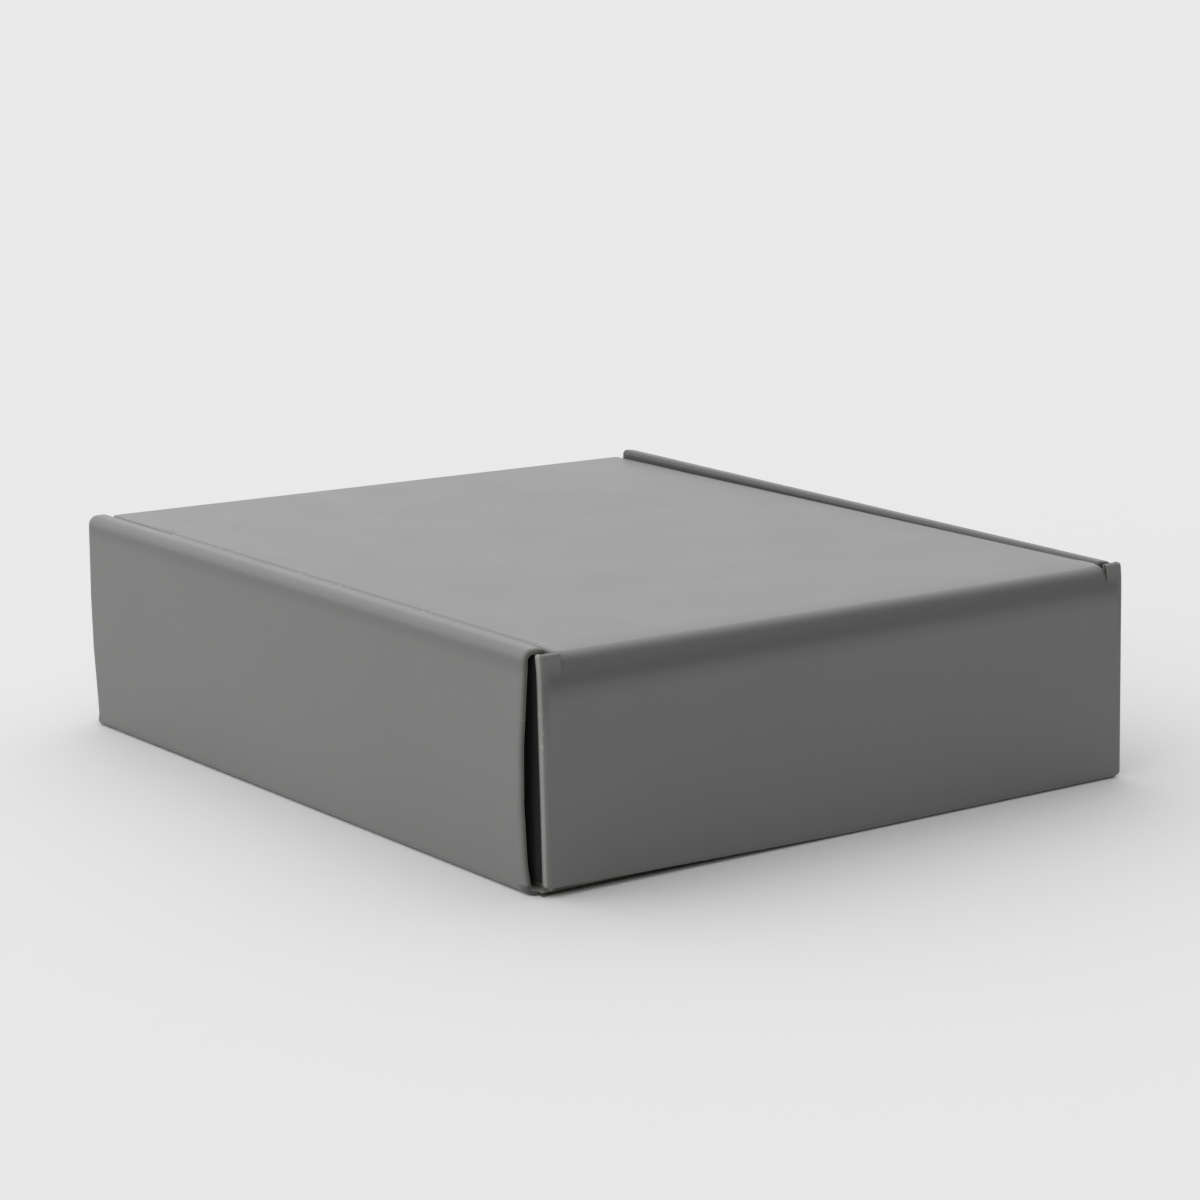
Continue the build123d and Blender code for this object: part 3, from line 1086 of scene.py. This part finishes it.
def make_dust_flap(context, side):
    """A dust flap and its crease along one side of the lid."""
    sizes = context.scene.box_sizes
    name = "right" if side > 0 else "left"
    crease = sizes.crease_radius
    tip_z = DUST_LOW.z
    run = LID_TOP - crease - tip_z
    moves = [(run, 0), fold(crease), (LIP, 0)]
    edge_x = LID_HALF_WIDTH - sizes.lid_side_gap
    sheet = Sheet(moves, (edge_x, tip_z), pi / 2, 1, (side, 1, 1), warp=lid_warp(sizes, side))

    def edges(s):
        narrow = DUST_TAPER * max(0.0, 1 - s / run) + rounded_inset(s, DUST_CORNER)
        return DUST_LOW.y + narrow, DUST_HIGH.y - narrow

    bm = new_board_mesh()
    lay_board(bm, sizes, sheet, 0.0, run - LIP, edges, True, "fs", spacing=CLOSE)
    piece = finish_board(context, bm, f"{name}_dust_flap_board")
    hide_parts(f"{name}_lid_dust_flap")
    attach(piece, f"{name}_dust_flap")

    bm = new_board_mesh()
    lay_board(bm, sizes, sheet, run - LIP, marks(moves)[-1], edges, True)
    piece = finish_board(context, bm, f"{name}_dust_crease_board")
    start = (side * edge_x, 0.0, LID_TOP - crease)
    end = (side * (edge_x - crease), 0.0, LID_TOP)
    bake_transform(piece, f"{name}_dust_flap", "lid", start, end)


# ---- the stage

FLOOR_HALF_SIZE = 30.0
GLOW_WAY = (0.36, -0.78, 0.51)
GLOW_RANGE = (-0.65, 0.75)
GLOW_STRENGTH = (0.215, 1.48)
SOFTBOX_PLACE = (1.6, -0.9, 1.1)
SOFTBOX_SIZE = 0.9
SOFTBOX_WATTS = 0.45
CAMERA_LENS = 109.1
CAMERA_SENSOR = 36.0
CAMERA_CLIP_END = 60.0
CAMERA_AZIMUTH = radians(143.35)
CAMERA_ELEVATION = radians(12.174)
CAMERA_DISTANCE = 1.4081
CAMERA_SHIFT = (0.0034, 0.01654)


def make_stage(context):
    """A wide pale floor, a studio dome, a weak soft light from the side, and the camera."""
    scene = context.scene
    material, tree, output = new_material("pale_studio_floor")
    shader = add_node(tree, "ShaderNodeBsdfPrincipled", {
        "Base Color": list(scene.box_colours.stage), "Roughness": 0.9, "Specular IOR Level": 0.1})
    tree.links.new(shader.outputs[0], output.inputs[0])
    bm = bmesh.new()
    bmesh.ops.create_grid(bm, x_segments=1, y_segments=1, size=FLOOR_HALF_SIZE)
    mesh = bpy.data.meshes.new("studio_floor")
    bm.to_mesh(mesh)
    bm.free()
    mesh.materials.append(material)
    ground = bpy.data.objects.new("studio_floor", mesh)
    scene.collection.objects.link(ground)

    world = bpy.data.worlds.new("studio")
    scene.world = world
    world.use_nodes = True
    tree = world.node_tree
    background = tree.nodes["Background"]
    background.inputs["Color"].default_value = (1.0, 1.0, 1.0, 1.0)
    # a studio dome: bright overhead and towards the front right, dim towards the rear
    way = (add_node(tree, "ShaderNodeTexCoord"), "Generated")
    facing = add_node(tree, "ShaderNodeVectorMath", {0: way, 1: Vector(GLOW_WAY)},
                      operation="DOT_PRODUCT")
    glow = ramp(tree, (facing, "Value"), *GLOW_RANGE, *GLOW_STRENGTH)
    tree.links.new(glow.outputs[0], background.inputs["Strength"])

    centre = Vector((0, 0, HEIGHT / 2))
    light = bpy.data.lights.new("side_softbox", "AREA")
    light.shape = "SQUARE"
    light.size = SOFTBOX_SIZE
    light.energy = SOFTBOX_WATTS
    lamp = bpy.data.objects.new("side_softbox", light)
    lamp.location = Vector(SOFTBOX_PLACE)
    lamp.rotation_euler = (centre - lamp.location).to_track_quat("-Z", "Y").to_euler()
    scene.collection.objects.link(lamp)

    camera_data = bpy.data.cameras.new("camera")
    camera_data.lens = CAMERA_LENS
    camera_data.sensor_width = CAMERA_SENSOR
    camera_data.clip_end = CAMERA_CLIP_END
    camera = bpy.data.objects.new("camera", camera_data)
    level = cos(CAMERA_ELEVATION)
    back = Vector((sin(CAMERA_AZIMUTH) * level, -cos(CAMERA_AZIMUTH) * level,
                   sin(CAMERA_ELEVATION)))
    right = (-back).cross(Vector((0, 0, 1))).normalized()
    up = right.cross(-back)
    across, upward = CAMERA_SHIFT
    camera.location = centre + back * CAMERA_DISTANCE + right * across + up * upward
    camera.rotation_euler = (-back).to_track_quat("-Z", "Y").to_euler()
    scene.collection.objects.link(camera)
    scene.camera = camera
    scene.view_settings.view_transform = "Standard"


# ---- operators and panel

class BOX_OT_floor(bpy.types.Operator):
    """Make the floor with its lock slots"""
    bl_idname = "box.floor"
    bl_label = "Floor"

    def execute(self, context):
        make_floor(context)
        return {"FINISHED"}


class BOX_OT_rolled_walls(bpy.types.Operator):
    """Make the two rolled side walls"""
    bl_idname = "box.rolled_walls"
    bl_label = "Rolled walls"

    def execute(self, context):
        for side in (1, -1):
            make_rolled_wall(context, side)
        return {"FINISHED"}


class BOX_OT_end_walls(bpy.types.Operator):
    """Make the rear and front walls"""
    bl_idname = "box.end_walls"
    bl_label = "End walls"

    def execute(self, context):
        for end in (1, -1):
            make_end_wall(context, end)
        return {"FINISHED"}


class BOX_OT_ears(bpy.types.Operator):
    """Make the four ears inside the rolled walls"""
    bl_idname = "box.ears"
    bl_label = "Ears"

    def execute(self, context):
        for side in (1, -1):
            for end in (1, -1):
                make_ear(context, side, end)
        return {"FINISHED"}


class BOX_OT_lid(bpy.types.Operator):
    """Make the lid and the hinge fold that carries it"""
    bl_idname = "box.lid"
    bl_label = "Lid and hinge fold"

    def execute(self, context):
        make_hinge_fold(context)
        make_lid(context)
        return {"FINISHED"}


class BOX_OT_flaps(bpy.types.Operator):
    """Make the tuck flap and the two dust flaps with their creases"""
    bl_idname = "box.flaps"
    bl_label = "Lid flaps"

    def execute(self, context):
        make_tuck_flap(context)
        for side in (1, -1):
            make_dust_flap(context, side)
        return {"FINISHED"}


class BOX_OT_stage(bpy.types.Operator):
    """Make the studio floor, light and camera"""
    bl_idname = "box.stage"
    bl_label = "Stage"

    def execute(self, context):
        make_stage(context)
        return {"FINISHED"}


OPERATORS = (BOX_OT_floor, BOX_OT_rolled_walls, BOX_OT_end_walls, BOX_OT_ears, BOX_OT_lid,
             BOX_OT_flaps, BOX_OT_stage)


class BOX_PT_panel(bpy.types.Panel):
    """Lists the sizes, colours and steps of the box"""
    bl_idname = "BOX_PT_panel"
    bl_label = "Folding box"
    bl_space_type = "VIEW_3D"
    bl_region_type = "UI"
    bl_category = "Box"

    def draw(self, context):
        for group in (context.scene.box_sizes, context.scene.box_colours):
            column = self.layout.column()
            for name in group.__annotations__:
                column.prop(group, name)
        for operator in OPERATORS:
            self.layout.operator(operator.bl_idname)


CLASSES = (BoxSizes, BoxColours, *OPERATORS, BOX_PT_panel)


def register():
    for cls in CLASSES:
        bpy.utils.register_class(cls)
    bpy.types.Scene.box_sizes = bpy.props.PointerProperty(type=BoxSizes)
    bpy.types.Scene.box_colours = bpy.props.PointerProperty(type=BoxColours)


def unregister():
    del bpy.types.Scene.box_sizes
    del bpy.types.Scene.box_colours
    for cls in reversed(CLASSES):
        bpy.utils.unregister_class(cls)


def main():
    register()
    for name in ("floor", "rolled_walls", "end_walls", "ears", "lid", "flaps", "stage"):
        getattr(bpy.ops.box, name)()


if __name__ == "__main__":
    main()
